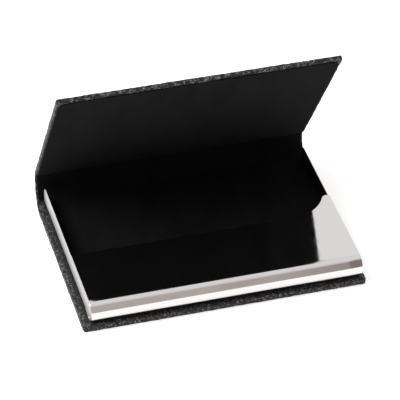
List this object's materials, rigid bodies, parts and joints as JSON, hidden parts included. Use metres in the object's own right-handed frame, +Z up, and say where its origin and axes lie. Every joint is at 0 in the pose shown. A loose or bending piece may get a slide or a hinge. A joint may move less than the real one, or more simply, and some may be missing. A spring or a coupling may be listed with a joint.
{
  "type": "business card case",
  "caption": "Book-style leather card case with a hinged lid, soft spine and a mirror steel card tray with a rolled front and a wave-cut top plate.",
  "frame": {"origin": "centre of the flat underside of the base", "axes": "+X along the spine, +Y from the rolled front of the tray towards the spine, +Z up out of the tray"},
  "size_m": [0.0956, 0.0711, 0.0692],
  "materials": {
    "leather": "black pebble-grain leather, semi-gloss",
    "lining": "matte black suede-like lining",
    "greyboard": "uncoated grey-brown board",
    "steel": "mirror-polished stainless steel sheet",
    "tape": "double-sided foam tape",
    "magnet": "nickel-plated magnet"
  },
  "bodies": {
    "base": {"base_board": "greyboard", "base_leather": "leather", "mounting_tape": "tape", "tray_pan": "steel", "tray_lining": "lining", "front_cover": "steel"},
    "spine": {"spine_stiffener": "greyboard", "spine_leather": "leather", "spine_lining": "lining"},
    "lid": {"lid_board": "greyboard", "lid_leather": "leather", "lid_lining": "lining", "lid_magnets": "magnet"}
  },
  "joints": [
    {"name": "spine_fold", "type": "hinge", "parent": "base", "child": "spine", "pos_m": [0, 0.03533, 0.0025], "axis": [-1, 0, 0], "range_deg": [0, 75]},
    {"name": "lid_fold", "type": "hinge", "parent": "spine", "child": "lid", "pos_m": [0, 0.0381, 0.0126], "axis": [-1, 0, 0], "range_deg": [-56.7, 50]}
  ]
}
